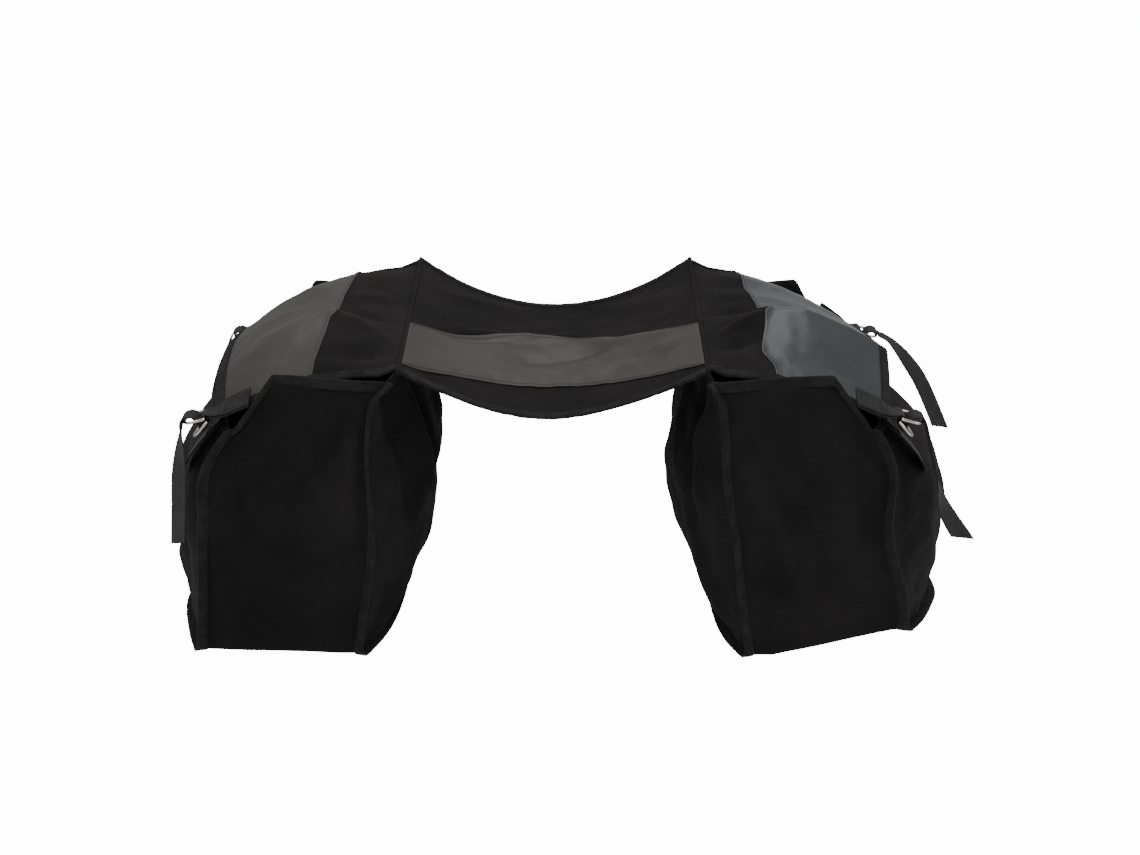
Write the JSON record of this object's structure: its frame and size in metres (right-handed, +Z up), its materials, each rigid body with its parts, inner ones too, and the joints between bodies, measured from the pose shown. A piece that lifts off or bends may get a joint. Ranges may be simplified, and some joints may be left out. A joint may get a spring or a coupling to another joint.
{
  "type": "double pannier bag",
  "caption": "Soft double pannier: open-topped side bags joined by a sagging bridge, each closed by a strapped flap.",
  "frame": {"origin": "on the ground, in the middle of the two bags", "axes": "+X from the left bag to the right bag, +Y from the front end to the rear end, +Z up"},
  "size_m": [0.862, 0.364, 0.3477],
  "materials": {
    "canvas": "matte plain-weave canvas",
    "coated_fabric": "satin coated fabric with a fine grain",
    "binding_tape": "ribbed grosgrain tape",
    "webbing": "woven strap webbing",
    "nickel": "bright nickel plate"
  },
  "bodies": {
    "bridge": {"bridge_panel": "canvas", "bridge_strip": "coated_fabric", "bridge_front_binding": "binding_tape", "bridge_rear_binding": "binding_tape"},
    "left_bag": {"left_gusset_band": "canvas", "left_outer_wall": "canvas", "left_inner_wall": "canvas", "left_mouth_facing": "coated_fabric", "left_mouth_binding": "binding_tape", "left_front_gusset_binding": "binding_tape", "left_rear_gusset_binding": "binding_tape", "left_inner_seam_binding": "binding_tape", "left_outer_seam_binding": "binding_tape", "left_front_closing_strap": "webbing", "left_rear_closing_strap": "webbing"},
    "left_flap": {"left_flap_canvas": "canvas", "left_flap_panel": "coated_fabric", "left_flap_binding": "binding_tape", "left_front_ring_tab": "webbing", "left_rear_ring_tab": "webbing"},
    "left_front_rings": {"left_front_upper_ring": "nickel", "left_front_lower_ring": "nickel", "left_front_strap_tail": "webbing"},
    "left_rear_rings": {"left_rear_upper_ring": "nickel", "left_rear_lower_ring": "nickel", "left_rear_strap_tail": "webbing"},
    "right_bag": {"right_gusset_band": "canvas", "right_outer_wall": "canvas", "right_inner_wall": "canvas", "right_mouth_facing": "coated_fabric", "right_mouth_binding": "binding_tape", "right_front_gusset_binding": "binding_tape", "right_rear_gusset_binding": "binding_tape", "right_inner_seam_binding": "binding_tape", "right_outer_seam_binding": "binding_tape", "right_front_closing_strap": "webbing", "right_rear_closing_strap": "webbing"},
    "right_flap": {"right_flap_canvas": "canvas", "right_flap_panel": "coated_fabric", "right_flap_binding": "binding_tape", "right_front_ring_tab": "webbing", "right_rear_ring_tab": "webbing"},
    "right_front_rings": {"right_front_upper_ring": "nickel", "right_front_lower_ring": "nickel", "right_front_strap_tail": "webbing"},
    "right_rear_rings": {"right_rear_upper_ring": "nickel", "right_rear_lower_ring": "nickel", "right_rear_strap_tail": "webbing"}
  },
  "joints": [
    {"name": "left_bag_swing", "type": "hinge", "parent": "bridge", "child": "left_bag", "pos_m": [-0.156, 0, 0.3335], "axis": [0, -0.9978, -0.0665], "range_deg": [-90, 12]},
    {"name": "left_flap_lift", "type": "hinge", "parent": "left_bag", "child": "left_flap", "pos_m": [-0.156, 0, 0.3335], "axis": [0, 0.9978, 0.0665], "range_deg": [0, 105]},
    {"name": "left_front_ring_swing", "type": "hinge", "parent": "left_flap", "child": "left_front_rings", "pos_m": [-0.35115, -0.1655, 0.2726], "axis": [0, 1, 0], "range_deg": [0, 75]},
    {"name": "left_rear_ring_swing", "type": "hinge", "parent": "left_flap", "child": "left_rear_rings", "pos_m": [-0.35307, 0.1655, 0.25888], "axis": [0, 1, 0], "range_deg": [0, 75]},
    {"name": "right_bag_swing", "type": "hinge", "parent": "bridge", "child": "right_bag", "pos_m": [0.156, 0, 0.3335], "axis": [0, 0.9978, 0.0665], "range_deg": [-90, 12]},
    {"name": "right_flap_lift", "type": "hinge", "parent": "right_bag", "child": "right_flap", "pos_m": [0.156, 0, 0.3335], "axis": [0, -0.9978, -0.0665], "range_deg": [0, 105]},
    {"name": "right_front_ring_swing", "type": "hinge", "parent": "right_flap", "child": "right_front_rings", "pos_m": [0.35115, -0.1655, 0.2726], "axis": [0, -1, 0], "range_deg": [0, 75]},
    {"name": "right_rear_ring_swing", "type": "hinge", "parent": "right_flap", "child": "right_rear_rings", "pos_m": [0.35307, 0.1655, 0.25888], "axis": [0, -1, 0], "range_deg": [0, 75]}
  ]
}
